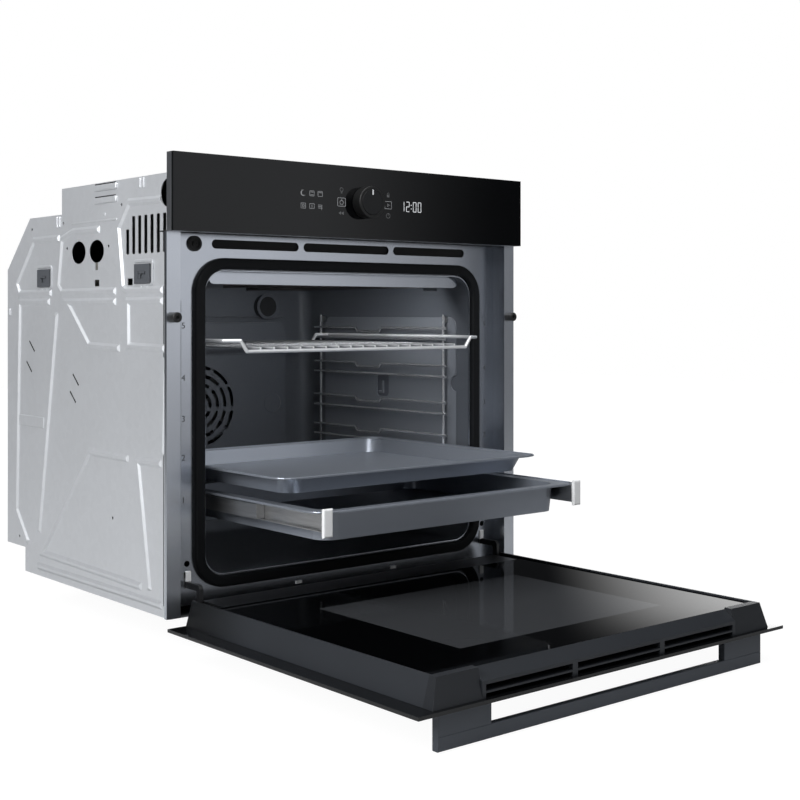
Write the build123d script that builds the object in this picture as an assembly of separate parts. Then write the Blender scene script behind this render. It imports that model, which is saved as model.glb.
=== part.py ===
from build123d import *
import os
from math import cos, sin, pi, radians

# Built-in wall oven with a drop-down door, shown open with its trays pulled out. Sizes are in millimetres.
# X runs to the right and Z up from the base. Y runs to the rear from the front faces of the side trims.
# Every piece is moved by half the base's depth when it is written, so the origin is the middle of the base.

# Front
front_width = 595
front_height = 592
fascia_height = 99
fascia_depth = 16
glass = 4
door_gap = 3
trim_foot = 7
trim_lip = 6

# Steel body
sheet = 1
front_lap = 18.5
frame_setback = 25.5
frame_foot = 15
base_rear = 467
body_rear = 533
rear_step = 36
slope_drop = 76
slope_head = 450
top_drop = 22
top_fall = 37
top_step = 340
rear_vent_rows = 4
rear_vent_columns = 5
rear_vent_foot = 90
rear_vent_pitch_x = 70
rear_vent_pitch_z = 18
rear_vent_long = 50
rear_vent_high = 6

# Cavity
cavity_inset = 49
cavity_floor = 48
cavity_drop = 46
cavity_corner = 30
cavity_rear = 460
rear_round = 20
wool = 15
wool_gap = 0.3
wool_hole_play = 1
heater_pocket = 12

# Gasket round the cavity mouth
gasket_width = 15
gasket_lap = 0.5
gasket_gap = 0.3

# Front frame cuts
vent_height = 12
vent_drop = 12.5
vent_long = 148
vent_web = 8
vent_inset = 61
hinge_slot = 9
hinge_slot_foot = 37
hinge_slot_head = 58
latch_hole = 4
latch_height = 68.5

# Cabinet screws and plug
screw_edge = 9.5
screw_height = 385
screw_hole = 2.75
bush_radius = 6.5
bush_length = 11
plug_inset = 35
plug_drop = 13
plug_radius = 10
plug_stem = 7.5
plug_head = 3

# Side panel: places as (y, z) on a panel of the pattern's depth and height, which follow the real panel
pattern_depth = 533
pattern_height = 570
slot_count = 6
slot_first = 39
slot_pitch = 16.7
slot_width = 9
slot_foot = 468.5
slot_long = 50.5
short_slot_long = 33.5
oval_long = 44
oval_high = 32
oval_places = ((286, 476), (230, 476))
oval_tail_width = 8
oval_tail = 26
window_long = 14
window_high = 9
window_places = ((229, 432), (132, 432))
pin_hole = 2.2
pin_hole_places = ((323, 483), (194, 482), (443, 516), (335, 520), (156, 536), (182, 112), (488, 50))
lance_long = 22
lance_wide = 2
lance_lean = 40
lance_places = ((443, 341), (453, 310), (295, 296), (304, 271))
cable_hole = 18
cable_hole_place = (31, 544)
clip_long = 41
clip_high = 26
clip_thick = 3
clip_places = ((398, 442), (95, 442))
bead_width = 11
bead_height = 2.5
bead_taper = 55
beads = (
    ((347, 499), (436, 499), (498, 436), (487, 420), (374, 420)),
    ((220, 506), (304, 506), (340, 497), (352, 429), (340, 420), (172, 420)),
    ((36, 536), (135, 538), (165, 506), (152, 425), (141, 420), (43, 420)),
    ((380, 407), (487, 407), (498, 89), (455, 44)),
    ((357, 391), (417, 64)),
    ((172, 406), (323, 406), (253, 345), (161, 343)),
    ((43, 406), (138, 406), (137, 346), (38, 345)),
    ((136, 196), (251, 197), (405, 35), (100, 31)),
    ((46, 197), (110, 195), (78, 29)),
    ((38, 334), (43, 208)),
    ((423, 14), (44, 15)),
)

# Fascia fittings
knob_radius = 22
knob_length = 17
knob_drop = 49
knob_gap = 0.8
knob_wall = 4
button_gap = 0.4
button_length = 7
button_travel = 1.5
button_proud = 0.5
shaft_radius = 3
shaft_play = 1
shaft_end_gap = 1
running_gap = 0.05
frame_wall = 3
frame_back = 2
control_wall = 2
control_depth = 26
control_lift = 4
control_drop = 26
board_width = 230
board_height = 38
board_thick = 1.6
board_setback = 8
display_x = 83
display_width = 46
display_height = 26
encoder_size = 16

# Fan, heaters and lamp
fan_drop = 9.5
fan_radius = 72
fan_blades = 12
fan_depth = 14
fan_hub = 13
fan_shaft = 4
cover_inset = 60
cover_lift = 26
cover_drop = 72
cover_depth = 25
cover_corner = 18
cover_ring_radii = (22, 36, 50, 64)
cover_ring_counts = (4, 6, 8, 10)
cover_slot = 6
cover_boss_radius = 17
cover_boss_inset = 27
motor_radius = 34
motor_length = 44
ring_radius = 96
ring_gap_angle = 12
heater_radius = 3.2
heater_gap = 0.2
heater_bend = 14
grill_drop = 15
grill_front = 80
grill_back = 400
grill_leg_x = 110
grill_inset = 50
bottom_inset = 80
bottom_front = 90
lamp_inset = 87
lamp_drop = 45
lamp_radius = 21
lamp_depth = 12
lamp_socket = 15
lamp_socket_length = 40

# Shelf supports and what they carry
rack_reach = 7.5
upright_radius = 2.5
wire_radius = 2
weld_lap = 0.5
rack_uprights = (78, 404)
rack_level_ratios = (0.2055, 0.3434, 0.4687, 0.6115, 0.7569)
rack_pair = 17
rack_foot_run = 26
rack_head_run = 21
rack_front = 66
rack_back = 416
rack_dip = 6
rack_dip_front = 230
rack_dip_back = 300
stud_radius = 5
stud_inset = 8
slide_gap = 0.3
rest_gap = 0.1
tray_sheet = 1.2
rim_play = 1.6
tray_corner = 22
sheet_front = -140
sheet_length = 383
sheet_depth = 20
sheet_flange = 14
sheet_slope = 8
drip_front = -216
drip_length = 360
drip_depth = 36
drip_flange = 20
drip_slope = 3
drip_rise = 24
shelf_front = -12
shelf_length = 396
shelf_drop = 14
shelf_inset = 42
shelf_rail = 2.5
shelf_wire = 1.5
shelf_wire_count = 17

# Telescopic runners
runner_width = 15
runner_height = 22
runner_wall = 1.2
runner_play = 0.4
runner_front = 66
runner_length = 340
runner_travel = 284
runner_tabs = (100, 360)
runner_tab = 14
cap_depth = 4
cap_width = 14
cap_fall = 27
cap_rise = 7

# Cooling blower above the cavity
blower_inset = 2
blower_front = 30
blower_back = 235
blower_wall = 2
wheel_clearance = 6.2
wheel_setback = 45
wheel_blades = 20
wheel_blade = 8
wheel_shaft = 3
blower_motor_radius = 24
blower_motor_length = 40

# Mains terminal box on the low part of the top
terminal_inset = 119
terminal_width = 80
terminal_depth = 56
terminal_height = 24
terminal_wall = 2
cable_bore = 6

# Hinges
hinge_inset = 19.5
hinge_y = -7
hinge_z = 1
arm_thick = 5
arm_eye = 4.5
arm_knee = 46
arm_bar = 8
arm_reach = 36
pin_radius = 2.5
cheek = 1
cheek_gap = 0.6
cassette_length = 150
cassette_height = 18
receptacle_width = 16
receptacle_wall = 4

# Door, drawn open: its outer face points down and its top edge points to the front
door_foot = 4
door_frame_inset = 23.5
door_frame_lean = 9
frame_rise = 31.5
profile_wall = 3
lip = 2
ledge = 2
inner_glass_inset = 12
glass_play = 0.3
trim_edge = 6
trim_depth = 16.5
trim_face = 18
trim_web_x = 72
trim_web = 8
trim_slot_end = 5
trim_slot_high = 7
trim_slot_foot = 5
corner_long = 66
hinge_bay = 56
middle_glass_gap = 9
handle_end = 33.5
handle_post_long = 72
handle_thick = 9
handle_high = 15
handle_reach = 40
handle_inset = 10

# Places worked out from the sizes above
half_front = front_width / 2
half_body = half_front - front_lap
half_inside = half_body - sheet
frame_rear = frame_setback + sheet
fascia_foot = front_height - fascia_height
top_high = front_height - top_drop
top_low = top_high - top_fall
slope_foot = top_low - slope_drop
face_y = -fascia_depth
half_cavity = half_body - cavity_inset
cavity_top = fascia_foot - cavity_drop
cavity_middle = (cavity_floor + cavity_top) / 2
cavity_height = cavity_top - cavity_floor
wool_rear = cavity_rear + sheet + wool_gap + wool
screw_x = half_front - screw_edge
terminal_x = terminal_inset - half_body
plug_x = plug_inset - half_body
plug_height = fascia_foot - plug_drop
vent_middle = fascia_foot - vent_drop
knob_height = front_height - knob_drop
knob_front = face_y - knob_gap - knob_length
fan_height = cavity_middle - fan_drop
half_cover = half_cavity - cover_inset
lamp_x = half_cavity - lamp_inset
lamp_height = cavity_top - lamp_drop
grill_half = half_cavity - grill_inset
grill_height = cavity_top - grill_drop
bottom_half = half_cavity - bottom_inset
bottom_height = cavity_floor - sheet - heater_radius - heater_gap
ring_leg_x = ring_radius * sin(radians(ring_gap_angle))
ring_leg_z = fan_height - ring_radius * cos(radians(ring_gap_angle))
upright_x = half_cavity - rack_reach
level_x = upright_x - upright_radius - wire_radius + weld_lap
rack_levels = [cavity_floor + ratio * cavity_height for ratio in rack_level_ratios]
rack_foot = rack_levels[0] - rack_foot_run
rack_head = rack_levels[-1] + rack_pair + rack_head_run
rim_half = upright_x - upright_radius - rim_play
sheet_rim = rack_levels[1] + wire_radius + rest_gap
drip_rim = rack_levels[0] + drip_rise
shelf_bar = half_cavity - shelf_inset
shelf_floor = rack_levels[-1] + wire_radius + shelf_rail + rest_gap - shelf_drop
runner_outside = level_x - wire_radius - slide_gap
blower_half = half_cavity - blower_inset
blower_foot = cavity_top + sheet + wool_gap + wool + slide_gap
blower_head = top_low - sheet
wheel_y = blower_back - wheel_setback
wheel_z = (blower_foot + blower_head) / 2
wheel_radius = (blower_head - blower_foot) / 2 - blower_wall - wheel_clearance
outer_face = face_y + hinge_z - hinge_y
frame_z = outer_face + glass
frame_half = half_front - door_frame_inset
frame_top_half = frame_half - door_frame_lean
inner_half = frame_half - inner_glass_inset
inner_top = frame_z + frame_rise - lip
hinge_x = frame_half - hinge_inset
cheek_inside = arm_thick / 2 + cheek_gap
cassette_half = cheek_inside + cheek
between_hinges = hinge_x - cassette_half - glass_play
door_tip = hinge_y + hinge_z - (fascia_foot - door_gap)
door_root = hinge_y + hinge_z + door_foot
trim_half = frame_half - corner_long
trim_front = door_tip + trim_edge
trim_back = trim_front + trim_depth
glass_front = trim_back + glass_play
glass_root = door_root - hinge_bay - glass_play
bar_half = half_front - handle_end
handle_y = door_tip + handle_inset
handle_foot = outer_face - handle_reach
gasket_front = inner_top - hinge_z + hinge_y + gasket_gap
base_middle = (frame_rear + base_rear) / 2


def block(x0, x1, y0, y1, z0, z1):
    return Pos((x0 + x1) / 2, (y0 + y1) / 2, (z0 + z1) / 2) * Box(abs(x1 - x0), abs(y1 - y0), abs(z1 - z0))


def along_x(points, x0, x1):
    """Prism of a (y, z) outline from x0 to x1."""
    outline = make_face(Polyline(*points, close=True))
    return Pos(x0, 0, 0) * extrude(Plane.YZ * outline, x1 - x0)


def along_y(sketch, y0, y1):
    """Prism of an (x, z) sketch from y0 to y1."""
    return Pos(0, y1, 0) * extrude(Plane.XZ * sketch, y1 - y0)


def rod_y(x, z, y0, y1, radius):
    return along_y(Pos(x, z) * Circle(radius), y0, y1)


def rod_x(y, z, x0, x1, radius):
    return Pos(min(x0, x1), 0, 0) * extrude(Plane.YZ * (Pos(y, z) * Circle(radius)), abs(x1 - x0))


def wire_run(points, radius):
    """Round wire through the points, with a ball at every bend."""
    pieces = []
    for start, end in zip(points[:-1], points[1:]):
        line = Line(start, end)
        pieces.append(Solid.make_cylinder(radius, line.length, Plane(origin=start, z_dir=line % 0)))
    for point in points[1:-1]:
        pieces.append(Pos(*point) * Sphere(radius))
    return pieces


def bent_tube(points, radius, bend):
    """Round tube along the points, with every corner bent to a radius."""
    path = FilletPolyline(*points, radius=bend)
    return sweep(Plane(origin=path @ 0, z_dir=path % 0) * Circle(radius), path=path)


def fuse(pieces):
    return pieces[0].fuse(*pieces[1:])


def both_sides(*pieces):
    return list(pieces) + [mirror(piece, about=Plane.YZ) for piece in pieces]


def write(name, *pieces):
    moved = [Pos(0, -base_middle, 0) * piece for piece in pieces]
    export_step(moved[0] if len(moved) == 1 else Compound(moved), f"parts/{name}.step")


# Body panels
def base_panel():
    outline = (
        (frame_rear, 0), (base_rear, 0), (base_rear, rear_step), (body_rear - sheet, rear_step),
        (body_rear - sheet, rear_step + sheet), (base_rear - sheet, rear_step + sheet),
        (base_rear - sheet, sheet), (frame_rear, sheet),
    )
    return along_x(outline, -half_inside, half_inside)


def on_panel(y, z):
    """Place on a side panel for a place on the pattern."""
    return y * body_rear / pattern_depth, z * top_high / pattern_height


def side_cuts():
    """Holes of one side panel, as a sketch in (y, z)."""
    cuts = []
    for number in range(slot_count + 1):
        long = slot_long if number < slot_count else short_slot_long
        place = on_panel(slot_first + number * slot_pitch, slot_foot + long / 2)
        cuts.append(Pos(*place) * RectangleRounded(slot_width, long, slot_width / 4))
    for place in oval_places:
        cuts.append(Pos(*on_panel(*place)) * Ellipse(oval_long / 2, oval_high / 2))
    tail = Pos(0, -oval_tail / 2) * Rectangle(oval_tail_width, oval_tail)
    cuts.append(Pos(*on_panel(*oval_places[-1])) * tail)
    for place in window_places:
        cuts.append(Pos(*on_panel(*place)) * Rectangle(window_long, window_high))
    for place in pin_hole_places:
        cuts.append(Pos(*on_panel(*place)) * Circle(pin_hole))
    for place in lance_places:
        cuts.append(Pos(*on_panel(*place)) * Rot(0, 0, lance_lean) * Rectangle(lance_long, lance_wide))
    cuts.append(Pos(*on_panel(*cable_hole_place)) * Circle(cable_hole))
    return Sketch() + cuts


def side_panel():
    outline = (
        (frame_rear, 0), (base_rear, 0), (base_rear, rear_step), (body_rear, rear_step),
        (body_rear, slope_foot), (slope_head, top_low), (top_step, top_low), (top_step, top_high),
        (sheet, top_high), (sheet, fascia_foot + sheet), (frame_rear, fascia_foot + sheet),
    )
    panel = along_x(outline, half_inside, half_body)
    for points in beads:
        stroke = trace(Polyline(*[on_panel(*point) for point in points]), bead_width)
        panel += Pos(half_body, 0, 0) * extrude(Plane.YZ * stroke, bead_height, taper=bead_taper)
    return panel - Pos(half_inside, 0, 0) * extrude(Plane.YZ * side_cuts(), sheet + bead_height)


def rear_cover():
    inside = body_rear - sheet
    outline = (
        (inside, rear_step + sheet), (body_rear, rear_step), (body_rear, slope_foot),
        (slope_head, top_low), (slope_head - sheet, top_low - sheet), (inside, slope_foot - sheet),
    )
    cover = along_x(outline, -half_inside, half_inside)
    for row in range(rear_vent_rows):
        for column in range(rear_vent_columns):
            x = (column - (rear_vent_columns - 1) / 2) * rear_vent_pitch_x
            z = rear_vent_foot + row * rear_vent_pitch_z
            slot = Pos(x, z) * SlotOverall(rear_vent_long, rear_vent_high)
            cover -= along_y(slot, inside, body_rear)
    return cover


def top_cover():
    outline = (
        (slope_head - sheet, top_low - sheet), (slope_head, top_low), (top_step, top_low),
        (top_step, top_high), (control_depth, top_high), (control_depth, top_high - sheet),
        (top_step - sheet, top_high - sheet), (top_step - sheet, top_low - sheet),
    )
    return along_x(outline, -half_inside, half_inside)


def mouth(grow):
    """Outline of the cavity's mouth, grown on every side."""
    width = 2 * (half_cavity + grow)
    height = cavity_height + 2 * grow
    return Pos(0, cavity_middle) * RectangleRounded(width, height, cavity_corner + grow)


def front_frame():
    height = fascia_foot - frame_foot
    plate = Pos(0, frame_foot + height / 2) * Rectangle(2 * half_inside, height)
    plate -= mouth(0)
    vent_start = vent_long / 2 + vent_web
    vent_end = half_body - vent_inset
    vents = [(0, vent_long)]
    for side in (-1, 1):
        vents.append((side * (vent_start + vent_end) / 2, vent_end - vent_start))
    for x, long in vents:
        plate -= Pos(x, vent_middle) * SlotOverall(long, vent_height)
    slot_height = hinge_slot_head - hinge_slot_foot
    for side in (-1, 1):
        plate -= Pos(side * hinge_x, hinge_slot_foot + slot_height / 2) * Rectangle(hinge_slot, slot_height)
        plate -= Pos(side * hinge_x, latch_height) * Circle(latch_hole)
    plate -= Pos(plug_x, plug_height) * Circle(plug_stem)
    return along_y(plate, frame_setback, frame_rear)


def side_trim():
    """Right trim: a front flange with a lip round its outer edge and a web back to the front frame."""
    flange = block(half_inside, half_front, 0, sheet, trim_foot, fascia_foot)
    web = block(half_inside, half_body, 0, frame_rear, trim_foot, fascia_foot)
    edge = block(half_front - sheet, half_front, 0, trim_lip, trim_foot, fascia_foot)
    return flange + web + edge - rod_y(screw_x, screw_height, 0, sheet, screw_hole)


def fixing_bush():
    ring = Circle(bush_radius) - Circle(screw_hole)
    bush = along_y(Pos(screw_x, screw_height) * ring, -bush_length, 0)
    return chamfer(bush.faces().sort_by(Axis.Y)[0].outer_wire().edges(), screw_hole / 3)


def frame_plug():
    front = frame_setback - plug_head
    head = rod_y(plug_x, plug_height, front, frame_setback, plug_radius)
    stem = rod_y(plug_x, plug_height, frame_setback, frame_rear + plug_head, plug_stem)
    recess = Circle(plug_stem) - Circle(plug_stem / 2)
    return head + stem - along_y(Pos(plug_x, plug_height) * recess, front, front + plug_head / 2)


def side_clip(y, z):
    long = clip_long / 2
    high = clip_high / 2
    face = half_body + clip_thick
    plate = block(half_body, face, y - long, y + long, z - high, z + high)
    return plate - block(face - clip_thick / 2, face, y - long / 2, y + long / 2, z - high / 2, z + high / 4)


# Cavity
def liner_body(grow):
    body = along_y(mouth(grow), frame_rear, cavity_rear + grow)
    return fillet(body.faces().sort_by(Axis.Y)[-1].edges(), rear_round + grow)


def rear_holes(extra):
    """Ways through the cavity's rear wall: fan shaft, heater legs and lamp."""
    start = cavity_rear - rear_round
    end = body_rear - sheet
    holes = [rod_y(0, fan_height, start, end, fan_shaft + shaft_play + extra)]
    for side in (-1, 1):
        holes.append(rod_y(side * ring_leg_x, ring_leg_z, start, end, heater_radius + heater_gap + extra))
        holes.append(rod_y(side * grill_leg_x, grill_height, start, end, heater_radius + heater_gap + extra))
    holes.append(rod_y(lamp_x, lamp_height, start, end, lamp_socket + heater_gap + extra))
    return holes


def cavity_liner():
    return liner_body(sheet) - liner_body(0) - rear_holes(0)


def insulation():
    """Wool round five sides of the cavity, with a pocket for the bottom element under the floor."""
    start = frame_rear
    end = wool_rear
    half = half_cavity + sheet + wool_gap + wool
    head = cavity_top + sheet + wool_gap + wool
    foot = cavity_floor - sheet - heater_pocket - wool
    wrap = block(-half, half, start, end, foot, head)
    wrap -= along_y(mouth(sheet + wool_gap), start, cavity_rear + sheet + wool_gap)
    wrap -= block(-half + wool, half - wool, start, cavity_rear, foot + wool, cavity_middle)
    wrap -= block(-half, half, base_rear - sheet - wool_gap, end, foot, rear_step + sheet + wool_gap)
    for side in (-1, 1):
        leg = bottom_half / 2
        wrap -= rod_y(side * leg, bottom_height, start, end, heater_radius + heater_gap)
    return wrap - rear_holes(wool_hole_play)


def door_gasket():
    ring = mouth(gasket_width + gasket_lap) - mouth(gasket_lap)
    seal = along_y(ring, gasket_front, frame_setback)
    return fillet(seal.faces().sort_by(Axis.Y)[0].edges(), gasket_width / 4)


def rack_stud(y, z):
    return rod_x(y, z, half_cavity, upright_x + upright_radius + rest_gap, stud_radius)


def side_rack():
    """Right rack: two uprights and a pair of wires for every shelf position, the upper one with a dip."""
    pieces = []
    for y in rack_uprights:
        pieces += wire_run([(upright_x, y, rack_foot), (upright_x, y, rack_head)], upright_radius)
    for low in rack_levels:
        high = low + rack_pair
        dip = high - rack_dip
        upper = (
            (rack_front, high), (rack_dip_front, high), (rack_dip_front + rack_dip, dip),
            (rack_dip_back - rack_dip, dip), (rack_dip_back, high), (rack_back, high),
        )
        pieces += wire_run([(level_x, rack_front, low), (level_x, rack_back, low)], wire_radius)
        pieces += wire_run([(level_x, y, z) for y, z in upper], wire_radius)
    return fuse(pieces)


def fan_cover():
    """Pressed box over the fan with rings of arc slots in its front."""
    front = cavity_rear - cover_depth
    foot = cavity_floor + cover_lift
    head = cavity_top - cover_drop
    width = 2 * half_cover
    outer = RectangleRounded(width, head - foot, cover_corner)
    inner = RectangleRounded(width - 2 * sheet, head - foot - 2 * sheet, cover_corner - sheet)
    middle = Pos(0, (foot + head) / 2)
    cover = along_y(middle * outer, front, cavity_rear) - along_y(middle * inner, front + sheet, cavity_rear)
    boss = Pos(half_cover - cover_boss_inset, fan_height) * Circle(cover_boss_radius)
    cover += extrude(Plane.XZ.offset(-front) * boss, sheet, taper=bead_taper)
    slots = []
    for radius, count in zip(cover_ring_radii, cover_ring_counts):
        sweep_angle = 360 / count - degrees_for(cover_slot * 2, radius)
        for number in range(count):
            arc = CenterArc((0, 0), radius, number * 360 / count, sweep_angle)
            slots.append(Pos(0, fan_height) * SlotArc(arc, cover_slot))
    return cover - along_y(Sketch() + slots, front, front + sheet)


def degrees_for(length, radius):
    return length / radius * 180 / pi


def convection_fan():
    back = cavity_rear - heater_radius
    disc = rod_y(0, fan_height, back - sheet, back, fan_radius)
    hub = rod_y(0, fan_height, back - fan_depth, back, fan_hub)
    shaft = rod_y(0, fan_height, back, wool_rear + motor_length / 2, fan_shaft)
    pieces = [disc, hub, shaft]
    for number in range(fan_blades):
        blade = block(fan_radius / 3, fan_radius, back - fan_depth, back - sheet / 2, -sheet / 2, sheet / 2)
        pieces.append(Pos(0, 0, fan_height) * Rot(0, number * 360 / fan_blades, 0) * blade)
    return fuse(pieces)


def fan_motor():
    start = wool_rear
    body = rod_y(0, fan_height, start, start + motor_length, motor_radius)
    bracket = block(-2 * motor_radius, 2 * motor_radius, start, start + 2 * sheet,
                    fan_height - motor_radius / 2, fan_height + motor_radius / 2)
    bore = rod_y(0, fan_height, start, start + motor_length / 2 + shaft_end_gap, fan_shaft + running_gap)
    return body + bracket - bore


def ring_heater():
    """One open turn of heater tube round the fan, its two ends bent back through the rear wall."""
    y = cavity_rear - cover_depth / 2
    arc = CenterArc((0, 0, 0), ring_radius, -90 + ring_gap_angle, 360 - 2 * ring_gap_angle)
    turn = sweep(Plane(origin=arc @ 0, z_dir=arc % 0) * Circle(heater_radius), path=arc)
    turn = Pos(0, y, fan_height) * Rot(90, 0, 0) * turn
    pieces = [turn]
    for side in (-1, 1):
        pieces.append(rod_y(side * ring_leg_x, ring_leg_z, y, wool_rear, heater_radius))
        pieces.append(Pos(side * ring_leg_x, y, ring_leg_z) * Sphere(heater_radius))
    return fuse(pieces)


def grill_element():
    turn = grill_back - grill_front
    middle_x = grill_leg_x / 3
    half = (
        (grill_leg_x, wool_rear), (grill_leg_x, grill_back), (grill_half, grill_back),
        (grill_half, grill_front), (grill_leg_x, grill_front), (grill_leg_x, turn),
        (middle_x, turn), (middle_x, grill_front),
    )
    route = [(x, y, grill_height) for x, y in half]
    route += [(-x, y, grill_height) for x, y in reversed(half)]
    return bent_tube(route, heater_radius, heater_bend)


def bottom_element():
    z = bottom_height
    half = [(bottom_half / 2, wool_rear, z), (bottom_half / 2, grill_back, z), (bottom_half, grill_back, z),
            (bottom_half, bottom_front, z)]
    return bent_tube(half + [(-x, y, z) for x, y, z in reversed(half)], heater_radius, heater_bend)


def lamp_glass():
    dome = rod_y(lamp_x, lamp_height, cavity_rear - lamp_depth, cavity_rear, lamp_radius)
    dome = fillet(dome.faces().sort_by(Axis.Y)[0].edges(), lamp_depth / 2)
    return dome - rod_y(lamp_x, lamp_height, cavity_rear - lamp_depth + 2 * sheet, cavity_rear, lamp_socket)


def lamp_holder():
    bulb_start = cavity_rear - lamp_depth / 2
    socket = rod_y(lamp_x, lamp_height, cavity_rear, cavity_rear + lamp_socket_length, lamp_socket)
    return socket + rod_y(lamp_x, lamp_height, bulb_start, cavity_rear, lamp_socket / 2)


# Shelves, trays and runners
def wire_shelf():
    """Loop of the chromed shelf: two rails on the racks and two bars that drop below them."""
    low = shelf_floor + shelf_drop
    back = shelf_front + shelf_length
    side = upright_x - upright_radius - shelf_rail - slide_gap
    corner = (side - shelf_bar) / 3
    quarter = [(shelf_bar, shelf_front, shelf_floor), (shelf_bar + corner, shelf_front, low),
               (side, shelf_front + corner, low)]
    right = quarter + [(x, back + shelf_front - y, z) for x, y, z in reversed(quarter)]
    route = right + [(-x, y, z) for x, y, z in reversed(right)]
    return fuse(wire_run(route + route[:2], shelf_rail))


def shelf_wires():
    """Wires of the shelf, which lie across the tops of its two bars."""
    height = shelf_floor + shelf_rail + shelf_wire
    pitch = 2 * shelf_bar / (shelf_wire_count + 1)
    places = [-shelf_bar + pitch * number for number in range(1, shelf_wire_count + 1)]
    return [rod_y(x, height, shelf_front, shelf_front + shelf_length, shelf_wire) for x in places]


def tray(front, length, rim, depth, flange, slope):
    """Pressed tray with sloped walls and a flat rim, whose underside is at the height rim."""
    middle = front + length / 2
    width = 2 * (rim_half - flange)
    depth_inside = length - 2 * flange

    def ring(z, inset):
        size = RectangleRounded(width - 2 * inset, depth_inside - 2 * inset, tray_corner)
        return Pos(0, middle, z) * size

    outer = loft([ring(rim - depth, slope), ring(rim, 0)])
    inner = loft([ring(rim - depth + tray_sheet, slope + tray_sheet), ring(rim + tray_sheet, tray_sheet)])
    rim_shape = RectangleRounded(2 * rim_half, length, tray_corner + flange / 2)
    return Pos(0, middle, rim) * extrude(rim_shape, tray_sheet) + outer - inner


def runner_profile(side_part):
    """Right runner member in (x, z): C sections face each other with the middle bar between them."""
    top = drip_rim - slide_gap
    foot = top - runner_height
    inside = runner_outside - runner_width
    seam = (inside + runner_outside) / 2
    play = runner_wall + runner_play

    def box(x0, x1, z0, z1):
        return Pos((x0 + x1) / 2, (z0 + z1) / 2) * Rectangle(x1 - x0, z1 - z0)

    if side_part == "middle":
        return box(inside + play, runner_outside - play, foot + play, top - play)
    if side_part == "outer":
        wall = box(runner_outside - runner_wall, runner_outside, foot, top)
        start, end = seam + runner_play, runner_outside
    else:
        wall = box(inside, inside + runner_wall, foot, top)
        start, end = inside, seam - runner_play
    return wall + box(start, end, foot, foot + runner_wall) + box(start, end, top - runner_wall, top)


def runner_outer():
    rail = along_y(runner_profile("outer"), runner_front, runner_front + runner_length)
    foot = rack_levels[0] + wire_radius + slide_gap
    head = rack_levels[0] + rack_pair - wire_radius - slide_gap
    half = runner_tab / 2
    for y in runner_tabs:
        rail += block(runner_outside, level_x + wire_radius, y - half, y + half, foot, head)
    return rail


def runner_middle():
    start = runner_front - runner_travel / 2
    return along_y(runner_profile("middle"), start, start + runner_length)


def runner_slide():
    start = runner_front - runner_travel
    return along_y(runner_profile("slide"), start, start + runner_length)


def runner_cap():
    middle = runner_outside - runner_width / 2
    end = runner_front - runner_travel
    cap = block(middle - cap_width / 2, middle + cap_width / 2, end - cap_depth, end,
                drip_rim - cap_fall, drip_rim + cap_rise)
    return fillet(cap.faces().sort_by(Axis.Y)[0].edges(), cap_width / 6)


# Fascia and controls
def fascia_glass():
    pane = block(-half_front, half_front, face_y, face_y + glass, fascia_foot, front_height)
    return pane - rod_y(0, knob_height, face_y, face_y + glass, shaft_radius + shaft_play)


def fascia_frame():
    """Tray behind the fascia glass, open to it, with windows for the display and the encoder."""
    front = face_y + glass
    frame = block(-half_front, half_front, front, 0, fascia_foot, front_height)
    frame -= block(-half_front + frame_wall, half_front - frame_wall, front, -frame_back,
                   fascia_foot + frame_wall, front_height - frame_wall)
    half = (display_width + frame_wall) / 2
    rise = (display_height + frame_wall) / 2
    frame -= block(display_x - half, display_x + half, -frame_back, 0, knob_height - rise, knob_height + rise)
    hole = (encoder_size + frame_wall) / 2
    return frame - block(-hole, hole, -frame_back, 0, knob_height - hole, knob_height + hole)


def control_box():
    foot = fascia_foot + control_lift
    head = front_height - control_drop
    case = block(-half_inside, half_inside, 0, control_depth, foot, head)
    wall = control_wall
    room = half_inside - wall
    return case - block(-room, room, 0, control_depth - wall, foot + wall, head - wall)


def control_board():
    board = block(-board_width / 2, board_width / 2, board_setback, board_setback + board_thick,
                  knob_height - board_height / 2, knob_height + board_height / 2)
    for x in (-1, 1):
        for z in (-1, 1):
            post_x = x * (board_width - encoder_size) / 2
            post_z = knob_height + z * (board_height - encoder_size) / 2
            board += rod_y(post_x, post_z, board_setback, control_depth - control_wall, shaft_radius)
    return board


def display_module():
    half = display_width / 2
    rise = display_height / 2
    return block(display_x - half, display_x + half, face_y + glass + sheet, board_setback,
                 knob_height - rise, knob_height + rise)


def encoder():
    half = encoder_size / 2
    body = block(-half, half, face_y + glass + sheet, board_setback, knob_height - half, knob_height + half)
    bore_end = board_setback - shaft_end_gap
    return body - rod_y(0, knob_height, face_y, bore_end, shaft_radius + running_gap)


def encoder_shaft():
    start = knob_front + button_length + button_travel + shaft_end_gap
    return rod_y(0, knob_height, start, board_setback - 2 * shaft_end_gap, shaft_radius)


def knob_ring():
    """Cup of the knob: its mouth takes the push face and its floor is bored for the shaft."""
    back = face_y - knob_gap
    cup = rod_y(0, knob_height, knob_front, back, knob_radius)
    cup = fillet(cup.faces().sort_by(Axis.Y)[0].edges(), knob_wall / 4)
    floor = knob_front + button_length + button_travel
    cup -= rod_y(0, knob_height, knob_front, floor, knob_radius - knob_wall)
    return cup - rod_y(0, knob_height, knob_front, back, shaft_radius)


def knob_button():
    start = knob_front - button_proud
    face = rod_y(0, knob_height, start, start + button_length, knob_radius - knob_wall - button_gap)
    return fillet(face.faces().sort_by(Axis.Y)[0].edges(), button_proud)


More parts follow.
